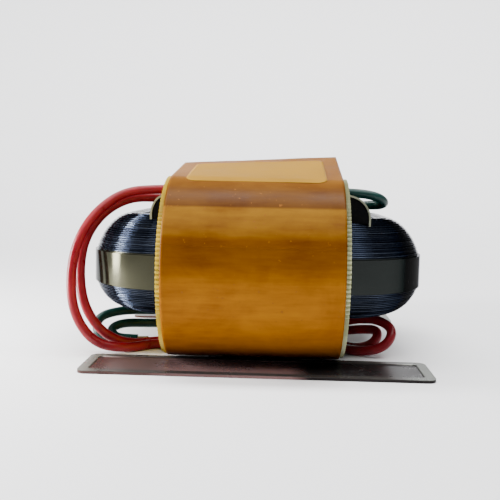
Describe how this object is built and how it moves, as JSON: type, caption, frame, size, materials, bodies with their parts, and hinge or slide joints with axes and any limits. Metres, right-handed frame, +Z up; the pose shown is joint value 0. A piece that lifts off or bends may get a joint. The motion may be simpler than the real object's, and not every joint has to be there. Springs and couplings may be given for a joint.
{
  "type": "r-core transformer",
  "caption": "R-core transformer: twin round coils in toothed bobbins under a glossy film jacket, on a wound oval steel core and a pressed steel base with foot rails.",
  "frame": {"origin": "middle of the body, at the level of the base's underside", "axes": "+X along the coils, from the red leads' side to the green leads' side; -Y is the front coil's side, +Z is up"},
  "size_m": [0.0953, 0.097, 0.054],
  "materials": {
    "core_strip": "glossy black-blue lacquer over wound steel strip",
    "bobbin_plastic": "pale moulded plastic",
    "copper_wire": "enamelled copper wire",
    "coil_tape": "yellow insulating tape",
    "jacket_film": "clear brown film, glossy",
    "label_film": "pale blank label",
    "base_steel": "bright plated steel, polished",
    "clamp_steel": "bright zinc plating",
    "sleeve_plastic": "natural plastic tube",
    "guard_sheet": "pale insulating sheet",
    "guard_block": "black filler",
    "lead_red": "red lead insulation",
    "lead_green": "dark green lead insulation",
    "joint_red": "shrunk red sleeve",
    "joint_green": "shrunk dark green sleeve",
    "tinned_copper": "tinned strands"
  },
  "bodies": {
    "root": {"core": "core_strip", "bobbin_front_upper": "bobbin_plastic", "bobbin_front_lower": "bobbin_plastic", "primary_winding_front": "copper_wire", "interlayer_tape_front": "coil_tape", "secondary_winding_front": "copper_wire", "coil_tape_front": "coil_tape", "bobbin_rear_upper": "bobbin_plastic", "bobbin_rear_lower": "bobbin_plastic", "primary_winding_rear": "copper_wire", "interlayer_tape_rear": "coil_tape", "secondary_winding_rear": "copper_wire", "coil_tape_rear": "coil_tape", "film_jacket": "jacket_film", "rating_label": "label_film", "base_plate": "base_steel", "clamp_stud": "clamp_steel", "clamp_bar": "clamp_steel", "clamp_washer": "clamp_steel", "clamp_nut": "clamp_steel", "stud_sleeve": "sleeve_plastic", "guard_sheet_left": "guard_sheet", "guard_block_left": "guard_block", "guard_sheet_right": "guard_sheet", "guard_block_right": "guard_block", "red_lead_1": "lead_red", "red_lead_1_joint": "joint_red", "red_lead_1_tip": "tinned_copper", "red_lead_2": "lead_red", "red_lead_2_joint": "joint_red", "red_lead_2_tip": "tinned_copper", "green_lead_1": "lead_green", "green_lead_1_joint": "joint_green", "green_lead_1_tip": "tinned_copper", "green_lead_2": "lead_green", "green_lead_2_joint": "joint_green", "green_lead_2_tip": "tinned_copper"}
  },
  "joints": []
}
